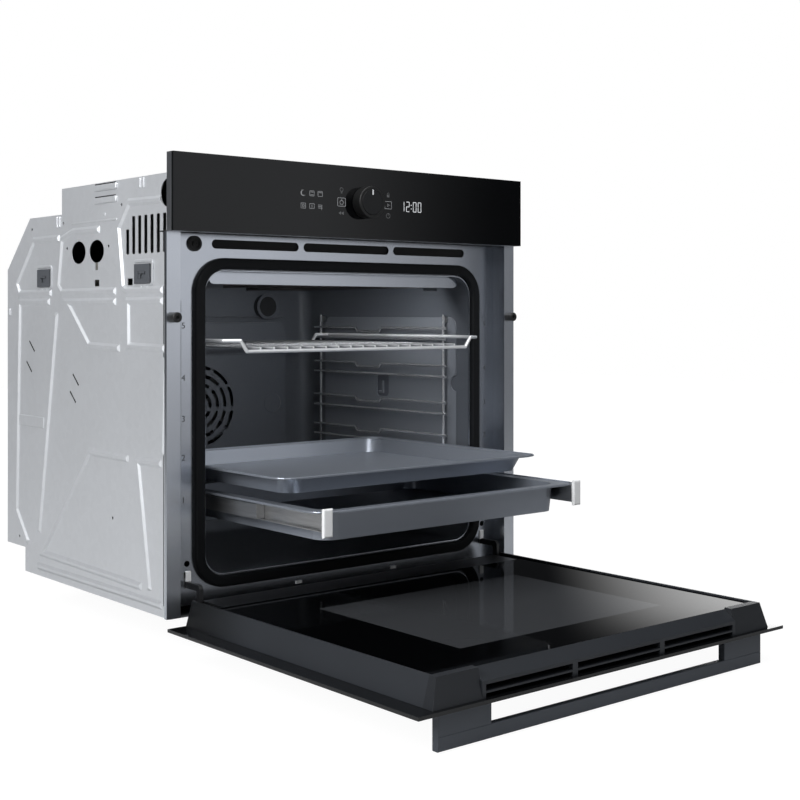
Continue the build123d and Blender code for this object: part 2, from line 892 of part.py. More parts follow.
# Cooling blower and mains box
def blower_housing():
    """Duct over the cavity, open to the front vents, with a bearing hole for the wheel in each end."""
    duct = block(-blower_half, blower_half, blower_front, blower_back, blower_foot, blower_head)
    room = blower_half - blower_wall
    duct -= block(-room, room, blower_front, blower_back - blower_wall,
                  blower_foot + blower_wall, blower_head - blower_wall)
    duct -= block(-blower_half / 2, blower_half / 2, wheel_y - wheel_radius, wheel_y + wheel_radius,
                  blower_head - blower_wall, blower_head)
    return duct - rod_x(wheel_y, wheel_z, -blower_half, blower_half, wheel_shaft + running_gap)


def blower_wheel():
    half = blower_half - 3 * blower_wall
    end = blower_half + blower_motor_length / 2
    pieces = [rod_x(wheel_y, wheel_z, -blower_half, end, wheel_shaft)]
    for x in (-half, 0, half - blower_wall):
        pieces.append(rod_x(wheel_y, wheel_z, x, x + blower_wall, wheel_radius))
    for number in range(wheel_blades):
        blade = block(-half, half, -sheet / 2, sheet / 2, wheel_radius - wheel_blade, wheel_radius)
        pieces.append(Pos(0, wheel_y, wheel_z) * Rot(number * 360 / wheel_blades, 0, 0) * blade)
    return fuse(pieces)


def blower_motor():
    body = rod_x(wheel_y, wheel_z, blower_half, blower_half + blower_motor_length, blower_motor_radius)
    bore_end = blower_half + blower_motor_length / 2 + shaft_end_gap
    return body - rod_x(wheel_y, wheel_z, blower_half, bore_end, wheel_shaft + running_gap)


def terminal_box():
    half = terminal_width / 2
    deep = terminal_depth / 2
    y = (top_step + slope_head) / 2
    foot = top_low + terminal_wall
    head = top_low + terminal_height
    case = block(terminal_x - half, terminal_x + half, y - deep, y + deep, top_low, head)
    side = half - terminal_wall
    room = deep - terminal_wall
    case -= block(terminal_x - side, terminal_x + side, y - room, y + room, foot, head - terminal_wall)
    return case - rod_y(terminal_x, top_low + terminal_height / 2, y, y + deep, cable_bore)


# Hinges
def hinge_arm():
    """Right arm: an eye on the hinge pin, a leg up out of the door and a bar back into the front frame."""
    front = hinge_y - arm_eye
    leg = (
        (front, hinge_z), (hinge_y + arm_eye, hinge_z), (hinge_y + arm_eye, arm_knee - arm_bar),
        (frame_rear + arm_reach, arm_knee - arm_bar), (frame_rear + arm_reach, arm_knee),
        (front + arm_eye, arm_knee), (front, arm_knee - arm_eye),
    )
    start = hinge_x - arm_thick / 2
    arm = along_x(leg, start, start + arm_thick) + rod_x(hinge_y, hinge_z, start, start + arm_thick, arm_eye)
    return arm - rod_x(hinge_y, hinge_z, start, start + arm_thick, pin_radius + running_gap)


def hinge_receptacle():
    half = receptacle_width / 2
    foot = arm_knee - arm_bar - receptacle_wall
    case = block(hinge_x - half, hinge_x + half, frame_rear, frame_rear + arm_reach + receptacle_wall,
                 foot, arm_knee + receptacle_wall)
    slot = arm_thick / 2 + slide_gap
    return case - block(hinge_x - slot, hinge_x + slot, frame_rear, frame_rear + arm_reach + slide_gap,
                        arm_knee - arm_bar - slide_gap, arm_knee + slide_gap)


def hinge_cassette():
    """Right cassette in the door: two cheeks that hold the pin, joined by a floor ahead of the arm."""
    foot = frame_z + slide_gap
    start = hinge_y - cassette_length
    end = hinge_y + arm_eye
    inside = cheek_inside
    outside = cassette_half
    head = foot + cassette_height
    case = block(hinge_x - outside, hinge_x + outside, start, end, foot, head)
    case -= block(hinge_x - inside, hinge_x + inside, start + cheek, end, foot + cheek, head)
    case -= block(hinge_x - inside, hinge_x + inside, door_root - hinge_bay, end, foot, foot + cheek)
    return case - rod_x(hinge_y, hinge_z, hinge_x - outside, hinge_x + outside, pin_radius)


def hinge_pin():
    return rod_x(hinge_y, hinge_z, hinge_x - cassette_half, hinge_x + cassette_half, pin_radius)


# Door
def door_outer_glass():
    return block(-half_front, half_front, door_tip, door_root, outer_face, frame_z)


def door_inner_glass():
    return block(-inner_half, inner_half, glass_front, glass_root, inner_top - glass, inner_top)


def door_middle_glass():
    top = inner_top - glass - ledge - middle_glass_gap
    return block(-between_hinges, between_hinges, glass_front, glass_root, top - glass, top)


def slant(x, z):
    """Distance from the middle of the slanted side of the door's frame at height z, moved in to x."""
    return x - (frame_half - frame_top_half) * (z - frame_z) / frame_rise


def door_side_profile():
    """Right profile: a slanted wall with a lip beside the inner glass and a ledge under it."""
    top = frame_z + frame_rise
    shelf = inner_top - glass
    edge = inner_half + glass_play
    outline = (
        (frame_half, frame_z), (frame_top_half, top), (edge, top), (edge, shelf), (between_hinges, shelf),
        (between_hinges, shelf - ledge), (slant(frame_half - profile_wall, shelf - ledge), shelf - ledge),
        (frame_half - profile_wall, frame_z),
    )
    bar = along_y(make_face(Polyline(*outline, close=True)), trim_back, door_root - door_foot)
    bay = block(0, hinge_x + cassette_half + slide_gap, door_root - hinge_bay, door_root, frame_z, top)
    return bar - bay


def door_bottom_profile():
    half = between_hinges
    wall = profile_wall
    start = door_root - hinge_bay
    end = door_root - door_foot
    bar = block(-half, half, start, end, frame_z, inner_top)
    return bar - block(-half, half, start + wall, end - wall, frame_z, inner_top - wall)


def door_top_trim():
    """Trim along the door's upper edge, between the corner caps, with two rows of three slots."""
    nose = ((trim_front, frame_z), (trim_front, frame_z + trim_face))
    bar = along_x(nose + ((trim_back, inner_top), (trim_back, frame_z)), -trim_half, trim_half)
    web_in = trim_web_x - trim_web / 2
    web_out = trim_web_x + trim_web / 2
    end = trim_half - trim_slot_end
    foot = frame_z + trim_slot_foot + ledge
    for x0, x1 in ((-end, -web_out), (-web_in, web_in), (web_out, end)):
        bar -= block(x0, x1, trim_front, trim_back, foot, foot + trim_slot_high)
        bar -= block(x0, x1, trim_front, trim_back, frame_z, frame_z + trim_slot_foot)
    return bar


def door_corner_cap():
    """Right cap that closes the end of the trim and of the side profile, leaning back on two sides."""
    top = frame_z + frame_rise
    face = ((trim_half, frame_z), (frame_half, frame_z), (frame_top_half, top), (trim_half, top))
    side = ((trim_front, frame_z), (trim_front + trim_edge, top), (trim_back, top), (trim_back, frame_z))
    cap = along_y(make_face(Polyline(*face, close=True)), trim_front, trim_back)
    return cap & along_x(side, trim_half, frame_half)


def handle_bar():
    head = handle_foot + handle_high
    bar = block(-bar_half, bar_half, handle_y, handle_y + handle_thick, handle_foot, head)
    return fillet(bar.edges().filter_by(Axis.X), sheet)


def handle_post():
    start = bar_half - handle_post_long
    return block(start, bar_half, handle_y, handle_y + handle_thick, handle_foot + handle_high, outer_face)


os.makedirs("parts", exist_ok=True)
for name, piece in (("side_panel", side_panel()), ("side_trim", side_trim()), ("side_rack", side_rack()),
                    ("door_side_profile", door_side_profile())):
    write(f"{name}_right", piece)
    write(f"{name}_left", mirror(piece, about=Plane.YZ))
for name, piece in (("fixing_bushes", fixing_bush()), ("runner_outers", runner_outer()),
                    ("runner_middles", runner_middle()), ("runner_slides", runner_slide()),
                    ("runner_caps", runner_cap()), ("hinge_arms", hinge_arm()),
                    ("hinge_receptacles", hinge_receptacle()), ("hinge_cassettes", hinge_cassette()),
                    ("hinge_pins", hinge_pin()), ("door_corner_caps", door_corner_cap()),
                    ("handle_posts", handle_post())):
    write(name, *both_sides(piece))
write("shelf_wires", *shelf_wires())
write("side_clips", *both_sides(*[side_clip(*on_panel(*place)) for place in clip_places]))
stud_heights = (rack_foot + stud_inset, rack_head - stud_inset)
studs = [rack_stud(y, z) for y in rack_uprights for z in stud_heights]
write("rack_studs", *both_sides(*studs))
for make in (base_panel, rear_cover, top_cover, front_frame, frame_plug, cavity_liner, insulation,
             door_gasket, fan_cover, convection_fan, fan_motor, ring_heater, grill_element,
             bottom_element, lamp_glass, lamp_holder, wire_shelf, fascia_glass, fascia_frame, control_box,
             control_board, display_module, encoder, encoder_shaft, knob_ring, knob_button, blower_housing,
             blower_wheel, blower_motor, terminal_box, door_outer_glass, door_middle_glass, door_inner_glass,
             door_bottom_profile, door_top_trim, handle_bar):
    write(make.__name__, make())
write("baking_sheet", tray(sheet_front, sheet_length, sheet_rim, sheet_depth, sheet_flange, sheet_slope))
write("drip_tray", tray(drip_front, drip_length, drip_rim, drip_depth, drip_flange, drip_slope))
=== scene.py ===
import bmesh
import bpy
import math
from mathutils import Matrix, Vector


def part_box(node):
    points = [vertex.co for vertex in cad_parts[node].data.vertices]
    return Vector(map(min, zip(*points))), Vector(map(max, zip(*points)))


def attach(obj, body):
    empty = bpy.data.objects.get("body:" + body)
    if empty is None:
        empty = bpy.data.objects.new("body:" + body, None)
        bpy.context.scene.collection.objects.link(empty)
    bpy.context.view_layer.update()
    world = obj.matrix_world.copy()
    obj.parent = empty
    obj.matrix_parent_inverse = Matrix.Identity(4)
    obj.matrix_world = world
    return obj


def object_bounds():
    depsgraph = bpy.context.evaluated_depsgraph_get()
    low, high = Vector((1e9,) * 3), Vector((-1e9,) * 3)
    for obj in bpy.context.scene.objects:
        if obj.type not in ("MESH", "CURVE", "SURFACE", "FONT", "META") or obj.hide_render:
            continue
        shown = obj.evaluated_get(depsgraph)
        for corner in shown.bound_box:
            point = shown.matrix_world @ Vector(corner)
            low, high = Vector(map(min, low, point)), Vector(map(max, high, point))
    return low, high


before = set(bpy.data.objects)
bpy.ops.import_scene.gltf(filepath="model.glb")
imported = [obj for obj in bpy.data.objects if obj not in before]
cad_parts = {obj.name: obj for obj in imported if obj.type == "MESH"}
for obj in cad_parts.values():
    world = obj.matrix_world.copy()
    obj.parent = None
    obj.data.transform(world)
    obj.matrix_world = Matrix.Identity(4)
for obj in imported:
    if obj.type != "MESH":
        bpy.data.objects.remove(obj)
cad_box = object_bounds()


# Studio: a pale floor just under the handle in a white room, soft boxes round the oven, and the camera of the
# photograph, which stands level to the left of the open door and looks at the oven past its front left edge.
class Wire:
    """One socket of a shader tree: sums on it add Math nodes, and node() adds any other kind of node."""

    def __init__(self, tree, socket=None):
        self.tree = tree
        self.socket = socket

    def node(self, kind, output=0, settings=None, **values):
        made = self.tree.nodes.new("ShaderNode" + kind)
        for name, value in (settings or {}).items():
            setattr(made, name, value)
        for name, value in values.items():
            self.put(made, name, value)
        return Wire(self.tree, made.outputs[output])

    def put(self, made, name, value):
        """Sets a socket by its name, or by its number as _0, _1 and so on."""
        socket = made.inputs[int(name[1:])] if name[0] == "_" else made.inputs[name.replace("_", " ")]
        if isinstance(value, Wire):
            self.tree.links.new(value.socket, socket)
        else:
            socket.default_value = value

    def math(self, operation, first, second=0):
        return self.node("Math", settings={"operation": operation}, _0=first, _1=second)

    def mix(self, low, high):
        """Colour that goes from low to high with this value."""
        return self.node("Mix", output=2, settings={"data_type": "RGBA"}, _0=self, _6=low, _7=high)

    def between(self, start, end):
        """0 below start and 1 above end, with a smooth way up."""
        smooth = {"interpolation_type": "SMOOTHSTEP"}
        return self.node("MapRange", settings=smooth, Value=self, From_Min=start, From_Max=end)

    def axes(self):
        """The X, Y and Z of a vector, as three values."""
        outputs = self.node("SeparateXYZ", Vector=self).socket.node.outputs
        return [Wire(self.tree, outputs[name]) for name in ("X", "Y", "Z")]

    def __add__(self, other):
        return self.math("ADD", self, other)

    def __radd__(self, other):
        return self.math("ADD", other, self)

    def __sub__(self, other):
        return self.math("SUBTRACT", self, other)

    def __rsub__(self, other):
        return self.math("SUBTRACT", other, self)

    def __mul__(self, other):
        return self.math("MULTIPLY", self, other)

    def __rmul__(self, other):
        return self.math("MULTIPLY", other, self)

    def __abs__(self):
        return self.math("ABSOLUTE", self)


def grey(level, blue=1.0):
    """Neutral colour with a blue cast above 1."""
    return (level, level * (1 + (blue - 1) * 0.35), level * blue, 1)


scene = bpy.context.scene
scene.view_settings.view_transform = "Standard"
bpy.ops.object.select_all(action="DESELECT")
eye = (-1.1346, -1.76555, 0.3891)
bpy.ops.object.camera_add(location=eye, rotation=(math.radians(90), 0, math.radians(-41.27)))
camera = bpy.context.object
camera.data.sensor_width = 36
camera.data.lens = 61.03
camera.data.shift_x = -0.0813
camera.data.shift_y = -0.1074
scene.camera = camera

floor_gap = 0.002
floor_size = 12
bpy.ops.mesh.primitive_plane_add(size=floor_size, location=(0, 0, cad_box[0].z - floor_gap))
floor = bpy.context.object
floor.name = "studio_floor"
floor_paint = bpy.data.materials.new("floor_paint")
floor_paint.use_nodes = True
paint = Wire(floor_paint.node_tree)
ground_x, ground_y = paint.node("TexCoord", output="Object").axes()[:2]
far = (ground_x * ground_x + ground_y * ground_y).between(0.6, 4)
glow = paint.node("Emission", Color=far.mix(grey(0.955), grey(1.02)))
shaded = paint.node("AddShader", _0=glow, _1=paint.node("BsdfDiffuse", Color=grey(0.08)))
seen = paint.node("LightPath", output="Is Camera Ray")
coat = paint.node("MixShader", _0=seen, _1=paint.node("BsdfDiffuse", Color=grey(0.4)), _2=shaded)
paint.put(floor_paint.node_tree.nodes["Material Output"], "Surface", coat)
floor.data.materials.append(floor_paint)


def soft_box(name, place, aim, size, power):
    """Rectangular studio light at a place, turned towards a point."""
    bpy.ops.object.light_add(type="AREA", location=place)
    lamp = bpy.context.object
    lamp.name = name
    lamp.data.shape = "RECTANGLE"
    lamp.data.size, lamp.data.size_y = size
    lamp.data.energy = power
    lamp.data.color = (0.97, 0.985, 1.0)
    way = [end - start for start, end in zip(place, aim)]
    turn = math.atan2(-way[0], way[1])
    tilt = math.atan2(math.hypot(way[0], way[1]), -way[2])
    lamp.rotation_euler = (tilt, 0, turn)
    return lamp


left_panel = (-0.3, 0.1, 0.3)
soft_box("left_box", (-2.5, -0.5, 1.6), left_panel, (1.5, 1.3), 82)
soft_box("side_card", (-2.6, -1.1, 0.5), left_panel, (0.9, 0.9), 3)
soft_box("fill_box", (-0.9, -2.2, 1.9), (0.0, 0.0, 0.25), (1.4, 1.2), 12)
soft_box("trays_box", (-0.3, -1.5, 2.3), (0.0, -0.2, 0.2), (1.6, 1.0), 28)
soft_box("top_box", (0.2, 0.3, 2.5), (0.0, 0.0, 0.2), (2.0, 2.0), 15)
soft_box("rear_box", (1.8, 2.2, 2.6), (0.0, 0.2, 0.3), (1.6, 1.4), 26)

# A small card lifts the dark cavity. It shows neither to the camera nor in a reflection.
cavity_card = soft_box("cavity_card", (0.0, -0.17, 0.43), (0.0, 0.22, 0.1), (0.36, 0.06), 1.3)
cavity_card.visible_camera = False
cavity_card.visible_glossy = False

# The room is white to the camera and dim to all else, but for a bright window behind the oven, which fades
# over the door's glass, and a grey wall ahead of it, which fades over the fascia.
room = bpy.data.worlds.new("studio_room")
room.use_nodes = True
scene.world = room
sky = Wire(room.node_tree)
way_x, way_y, way_z = sky.node("TexCoord", output="Generated").axes()
behind = way_z.between(0.08, 0.14) * (1 - way_z.between(0.205, 0.245))
behind = behind * way_x.between(0.69, 0.80) * way_y.between(0.05, 0.2)
ahead = (1 - way_x.between(0.56, 0.68)) * way_x.between(0.1, 0.3) * (0 - way_y).between(0.3, 0.5)
shade = behind.mix(grey(0.04, 1.15), grey(4.6))
dim = sky.node("Background", Color=ahead.mix(shade, grey(0.75, 1.06)))
white = sky.node("Background", Color=grey(1))
seen = sky.node("LightPath", output="Is Camera Ray")
sky.put(room.node_tree.nodes["World Output"], "Surface", sky.node("MixShader", _0=seen, _1=dim, _2=white))


# Body panels: zinc-coated sheet steel, cut, pressed with stiffening beads and folded, then screwed together
# round the cavity. The zinc shows a faint spangle, and is coloured darker on the top, the rear and the base
# as painted shade.
class Finish(Wire):
    """A material: its own Wire on the piece's coordinates, with the shader's sockets set by name."""

    def __init__(self, name):
        self.material = bpy.data.materials.new(name)
        self.material.use_nodes = True
        super().__init__(self.material.node_tree)
        self.socket = self.node("TexCoord", output="Object").socket

    def noise(self, scale, detail=3, **values):
        return self.node("TexNoise", Vector=self, Scale=scale, Detail=detail, **values)

    def eased(self, radius):
        """Normal that rounds the edges over a radius."""
        return self.node("Bevel", settings={"samples": 4}, Radius=radius)

    def bump(self, height, strength, distance, edge):
        """Normal with a relief on edges rounded to a radius."""
        return self.node("Bump", Strength=strength, Distance=distance, Height=height, Normal=self.eased(edge))

    def shine(self, **values):
        """Sets the shader's sockets."""
        shader = self.tree.nodes["Principled BSDF"]
        for name, value in values.items():
            self.put(shader, name, value)

    def cover(self, *names):
        """Puts this finish on CAD pieces."""
        for name in names:
            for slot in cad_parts[name].material_slots:
                slot.material = self.material


def galvanised(name, low, high):
    """Zinc-coated sheet with a faint spangle and cloud."""
    made = Finish(name)
    spangle = made.node("TexVoronoi", output="Color", Vector=made, Scale=110)
    spangle = spangle.node("SeparateColor", Color=spangle)
    cloud = made.noise(6, 3)
    grain = made.noise(900, 2)
    tone = spangle * 0.3 + cloud * 0.7
    made.shine(Base_Color=tone.mix(grey(low, 1.05), grey(high, 1.05)), Metallic=0.5,
               Roughness=0.34 + cloud * 0.08, Normal=made.bump(grain + spangle, 0.04, 0.0003, 0.0004))
    return made


zinc = galvanised("zinc_sheet", 0.58, 0.65)
zinc.cover("side_panel_left", "side_panel_right")
# The top, rear and base covers and their ribs get a darker copy of the zinc: painted shade that tones down
# the strong light from above.
cover_zinc_shaded = galvanised("cover_zinc_shaded", 0.25, 0.31)
cover_zinc_shaded.cover("base_panel", "rear_cover", "top_cover")

trims_to_middle = 246.75


def place(x, y, z):
    """Point in the frame for millimetres measured from the front faces of the trims."""
    return (x / 1000, (y - trims_to_middle) / 1000, z / 1000)


def corners(node):
    """Lowest and highest corner of a CAD piece, in millimetres from the front faces of the trims."""
    return [(1000 * end.x, 1000 * end.y + trims_to_middle, 1000 * end.z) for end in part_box(node)]


def start(add, where, lengths, turn=(0, 0, 0), **settings):
    """Adds a primitive of a size at a place, both in millimetres, and opens it for shaping."""
    bpy.ops.object.select_all(action="DESELECT")
    add(location=place(*where), rotation=[math.radians(angle) for angle in turn], **settings)
    bpy.context.object.scale = [length / 1000 for length in lengths]
    bpy.ops.object.transform_apply(location=True, rotation=True, scale=True)
    bpy.ops.object.mode_set(mode="EDIT")


def shaped():
    """Closes the open piece."""
    bpy.ops.object.mode_set(mode="OBJECT")
    return bpy.context.object


def pick(test):
    """Selects the faces of the open piece that pass a test."""
    bpy.ops.mesh.select_mode(type="FACE")
    bpy.ops.mesh.select_all(action="DESELECT")
    mesh = bmesh.from_edit_mesh(bpy.context.object.data)
    for face in mesh.faces:
        if test(face):
            face.select_set(True)
    bmesh.update_edit_mesh(bpy.context.object.data)


def modify(kind, **settings):
    """Adds a modifier to the active piece and applies it."""
    bpy.ops.object.modifier_add(type=kind)
    modifier = bpy.context.object.modifiers[-1]
    for name, value in settings.items():
        setattr(modifier, name, value)
    bpy.ops.object.modifier_apply(modifier=modifier.name)


def bar(where, size, ease, turn=(0, 0, 0)):
    """Bar with rounded edges."""
    start(bpy.ops.mesh.primitive_cube_add, where, size, turn, size=1)
    bpy.ops.mesh.bevel(offset=ease / 1000, segments=3, affect="EDGES")
    return shaped()


def outline(where, size, turn, corner, line=0, steps=5):
    """Flat plate with rounded corners, or its outline where a line width is given."""
    start(bpy.ops.mesh.primitive_plane_add, where, (*size, 1), turn, size=1)
    if corner:
        bpy.ops.mesh.bevel(offset=corner / 1000, segments=steps, affect="VERTICES")
    if line:
        bpy.ops.mesh.select_mode(type="FACE")
        bpy.ops.mesh.select_all(action="SELECT")
        bpy.ops.mesh.inset(thickness=line / 1000)
        bpy.ops.mesh.delete(type="FACE")
    return shaped()


def thicken(depth, ease=0.0):
    """Gives the active flat piece a thickness on its front, with rounded edges where an ease is given."""
    modify("SOLIDIFY", thickness=depth / 1000, offset=1)
    if ease:
        modify("BEVEL", width=ease / 1000, segments=2, limit_method="ANGLE")
    return bpy.context.object


def together(name, pieces, body, finish):
    """Joins what was modelled into one named piece that rides on a body and has a finish."""
    bpy.ops.object.select_all(action="DESELECT")
    for piece in pieces:
        piece.select_set(True)
    bpy.context.view_layer.objects.active = pieces[0]
    bpy.ops.object.join()
    joined = bpy.context.object
    joined.name = name
    joined.data.materials.clear()
    joined.data.materials.append(finish.material)
    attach(joined, body)


def moulding(name, low, high, roughness):
    """Moulded plastic or cast paint with a fine grain."""
    made = Finish(name)
    grain = made.noise(1400, 2)
    made.shine(Base_Color=made.noise(30, 3).mix(low, high), Roughness=roughness + grain * 0.12,
               Normal=made.bump(grain, 0.12, 0.0003, 0.0005))
    return made


# Places on a side panel, as depth and height, and for what is raised from it also its length and height.
panel_face = 279
lances = ((201.5, 563, 65, 9), (201.5, 545.5, 65, 9))
folded_tabs = ((95, 561.5, 5, 14), (104.5, 561.5, 5, 14), (347, 522.5, 5, 16), (356, 522.5, 5, 16),
               (525, 392.5, 7, 11))
pressed_lines = ((238.5, 517.5, 138, 3), (233, 15, 380, 3), (207, 526, 7, 4), (447, 228, 92, 16))
clip_rims = ((94.5, 443.5), (398.5, 443.5))
rim_size, rim_corner, rim_wide = (35, 53), 6, 4
clip_bars = ((102, 424.5, 4, 8), (88, 424.5, 4, 8), (408, 424.5, 4, 8), (391, 424.5, 4, 8))
slit_places = ((443, 341), (453, 310), (295, 296), (304, 271))
slit_size = (0.8, 24, 2.6)
slit_lean = 40
front_seam = (41.5, 220)
seam_size = (0.6, 1.3, 410)
shadow_black = moulding("shadow_black", grey(0.003), grey(0.005), 0.6)
for side, hand in ((-1, "left"), (1, "right")):
    ridges = []
    for ridge_list, proud in ((lances, 2.4), (folded_tabs, 1.6), (pressed_lines, 0.8), (clip_bars, 1.2)):
        for y, z, long, high in ridge_list:
            ease = 0.9 * min(proud, long / 2, high / 2)
            ridges.append(bar((side * panel_face, y, z), (2 * proud, long, high), ease))
    for y, z in clip_rims:
        outline((side * panel_face, y, z), rim_size, (0, side * 90, 0), rim_corner, rim_wide)
        ridges.append(thicken(1.3, 0.6))
    together("panel_pressings_" + hand, ridges, "oven", zinc)
    # Black bars just behind the slits and along the lances' edges are painted shadow; a black line also marks
    # the front seam.
    slit_x = side * (panel_face - 0.1)
    shadows = [bar((slit_x, y, z), slit_size, 0.3, (slit_lean, 0, 0)) for y, z in slit_places]
    for y, z, long, high in lances:
        shadows.append(bar((side * (panel_face + 0.9), y, z + 4.9), (1.6, long - 5, 1.6), 0.4))
    shadows.append(bar((side * panel_face, *front_seam), seam_size, 0.2))
    together("panel_painted_shadows_" + hand, shadows, "oven", shadow_black)


def metal(name, low, high, roughness, spread, streak=(1, 1, 1), size=120):
    """Bare or plated metal with streaks of roughness along the axis that streak shortens."""
    made = Finish(name)
    stretched = made.node("Mapping", Vector=made, Scale=streak)
    lines = made.node("TexNoise", Vector=stretched, Scale=size, Detail=4)
    made.shine(Base_Color=lines.mix(low, high), Metallic=1.0, Roughness=roughness + lines * spread,
               Normal=made.bump(lines, 0.05, 0.0002, 0.0002))
    return made


def screw(where, lean, proud):
    """Low pan-head screw with a rounded rim and a socket, on a face that leans back from level."""
    start(bpy.ops.mesh.primitive_cylinder_add, where, (4.2, 4.2, 2 * proud), (-lean, 0, 0), radius=1, depth=1,
          vertices=28)
    outward = Vector((0, math.sin(math.radians(lean)), math.cos(math.radians(lean))))

    def crown(face):
        return len(face.verts) > 4 and face.normal.dot(outward) > 0.9

    pick(crown)
    bpy.ops.mesh.bevel(offset=0.45 * proud / 1000, segments=2, affect="EDGES")
    pick(crown)
    bpy.ops.mesh.inset(thickness=0.0016)
    bpy.ops.mesh.extrude_region_move(TRANSFORM_OT_translate={"value": -0.8 * proud / 1000 * outward})
    return shaped()


top_z = 570
screw_proud = 1.5
screws = []
for x in (-264, 264):
    screws += [screw((x, y, top_z), 0, screw_proud) for y in (60, 190, 325)]
    screws += [screw((x, 395, 533), 0, screw_proud), screw((x, 491.5, 495), 42.5, screw_proud)]
screw_zinc = metal("screw_zinc", grey(0.5), grey(0.62), 0.3, 0.15)
together("cover_screws", screws, "oven", screw_zinc)
rib_wide, rib_high = 9, 2.4
top_ribs = [bar((0, y, top_z), (400, rib_wide, rib_high), 1) for y in (110, 185, 260)]
base_ribs = [bar((x, 250, 0), (rib_wide, 330, rib_high), 1) for x in (-150, 0, 150)]
together("cover_ribs", top_ribs + base_ribs, "oven", cover_zinc_shaded)


# Front frame and side trims: deep-drawn sheet in blue-grey enamel that runs round the cavity's mouth, with
# the trims folded from the same sheet. The shelf levels are stamped beside the mouth, and the foot of the
# frame has white locking tabs, two at its middle and one over each hinge.
def enamelled(name, low, high, metallic, roughness, painted_right_shade=None):
    """Smooth enamel with a faint cloud in its colour and gloss, darkened towards its right-hand end by a
    painted shade if given.
    """
    made = Finish(name)
    tint = made.noise(5, 3).mix(low, high)
    if painted_right_shade:
        tint = made.axes()[0].between(0.18, 0.27).mix(tint, painted_right_shade)
    gloss = made.noise(24, 3)
    made.shine(Base_Color=tint, Metallic=metallic, Roughness=roughness + gloss * 0.03)
    return made


# The front frame's enamel darkens towards its right-hand side: painted shade.
enamel = enamelled("frame_enamel", grey(0.60, 1.14), grey(0.66, 1.13), 1.0, 0.22, grey(0.34, 1.2))
enamel.cover("front_frame")
# The side trims, folded from the frame's own sheet, get a lighter copy of its enamel: painted light.
trim_paint = enamelled("trim_paint", grey(0.66, 1.12), grey(0.72, 1.12), 1.0, 0.24)
trim_paint.cover("side_trim_left", "side_trim_right")

facing_front = (90, 0, 0)
frame_face = 25.5
level_marks = (150, 204.5, 254.5, 307, 374)
level_x = 259.5
numbers = []
for side in (-1, 1):
    for number, z in enumerate(level_marks, start=1):
        bpy.ops.object.select_all(action="DESELECT")
        bpy.ops.object.text_add(location=place(side * level_x, frame_face, z), rotation=(math.pi / 2, 0, 0))
        digit = bpy.context.object
        digit.data.body = str(number)
        digit.data.size = 0.011
        digit.data.extrude = 0.0003
        digit.data.align_x = "CENTER"
        digit.data.align_y = "CENTER"
        bpy.ops.object.convert(target="MESH")
        bpy.ops.object.transform_apply(location=True, rotation=True, scale=True)
        numbers.append(bpy.context.object)
# The stamped numbers are coloured dark: painted shade of their stamped relief.
stamped_number_shade = enamelled("stamped_number_shade", grey(0.07, 1.1), grey(0.10, 1.1), 0.4, 0.4)
together("level_numbers", numbers, "oven", stamped_number_shade)

seam_lines = [bar((side * 263, frame_face, 240), (1.2, 0.7, 332), 0.3) for side in (-1, 1)]
together("frame_seams", seam_lines, "oven", enamel)

tab_white = moulding("tab_white", grey(0.90), grey(0.97), 0.35)
foot_x, foot_z, foot_size = 82, 23, (10, 3, 4.4)
latch_x, latch_z, latch_size = 253, 52, (8, 3, 14)
lock_tabs = [bar((side * foot_x, frame_face, foot_z), foot_size, 0.7) for side in (-1, 1)]
lock_tabs += [bar((side * latch_x, frame_face - 0.5, latch_z), latch_size, 1.2) for side in (-1, 1)]
together("frame_lock_tabs", lock_tabs, "oven", tab_white)


# Small mouldings of the body: bushes for the cabinet screws, the plug in the frame's test hole with its
# raised rim and hub, and the clips that lock into the side panels. All have a fine spark-eroded grain.
bush_plastic = moulding("bush_plastic", grey(0.006), grey(0.010), 0.38)
bush_plastic.cover("fixing_bushes", "frame_plug")
clip_plastic = moulding("clip_plastic", grey(0.050, 1.2), grey(0.070, 1.2), 0.5)
clip_plastic.cover("side_clips")


def ring(where, radius, line, turn, sides=40, shift=(0, 0, 0)):
    """Flat ring, or a disc where the line width is 0; a shift of its hole makes it a crescent."""
    start(bpy.ops.mesh.primitive_circle_add, where, (radius, radius, 1), turn, radius=1, vertices=sides,
          fill_type="NGON")
    if line:
        bpy.ops.mesh.select_mode(type="FACE")
        bpy.ops.mesh.select_all(action="SELECT")
        bpy.ops.mesh.inset(thickness=line / 1000)
        bpy.ops.transform.translate(value=[length / 1000 for length in shift])
        bpy.ops.mesh.delete(type="FACE")
    return shaped()


plug_place = (-244, 22.5, 480)
ring(plug_place, 8.5, 2, facing_front)
plug_rim = thicken(0.8, 0.3)
ring(plug_place, 2.6, 1.2, facing_front)
plug_hub = thicken(1.2, 0.3)
together("plug_rings", [plug_rim, plug_hub], "oven", bush_plastic)

clip_face = 282
emboss_deep = 1.2
embossings = []
for side in (-1, 1):
    for y, z in clip_rims:
        embossings.append(bar((side * clip_face, y, z), (emboss_deep, 17, 3), 0.5))
        embossings.append(bar((side * clip_face, y + 6, z - 5), (emboss_deep, 5, 6), 0.5))
together("clip_embossings", embossings, "oven", clip_plastic)


# Cavity: one welded box in dark enamel with fine pale flecks, wrapped in mineral wool, with a soft seal round
# its mouth. Its side walls have a pressed panel each, with a finger notch and a recess for the runner hook.
def fired(name, low, high):
    """Dark oven enamel with fine pale flecks."""
    made = Finish(name)
    fleck = 1 - made.node("TexVoronoi", Vector=made, Scale=620).between(0.05, 0.22)
    peel = made.noise(300, 2)
    made.shine(Base_Color=(fleck * 0.4).mix(made.noise(4, 3).mix(low, high), grey(0.24, 1.05)),
               Roughness=0.30 + peel * 0.1, Metallic=0.1, Normal=made.bump(peel, 0.03, 0.0004, 0.0003))
    return made


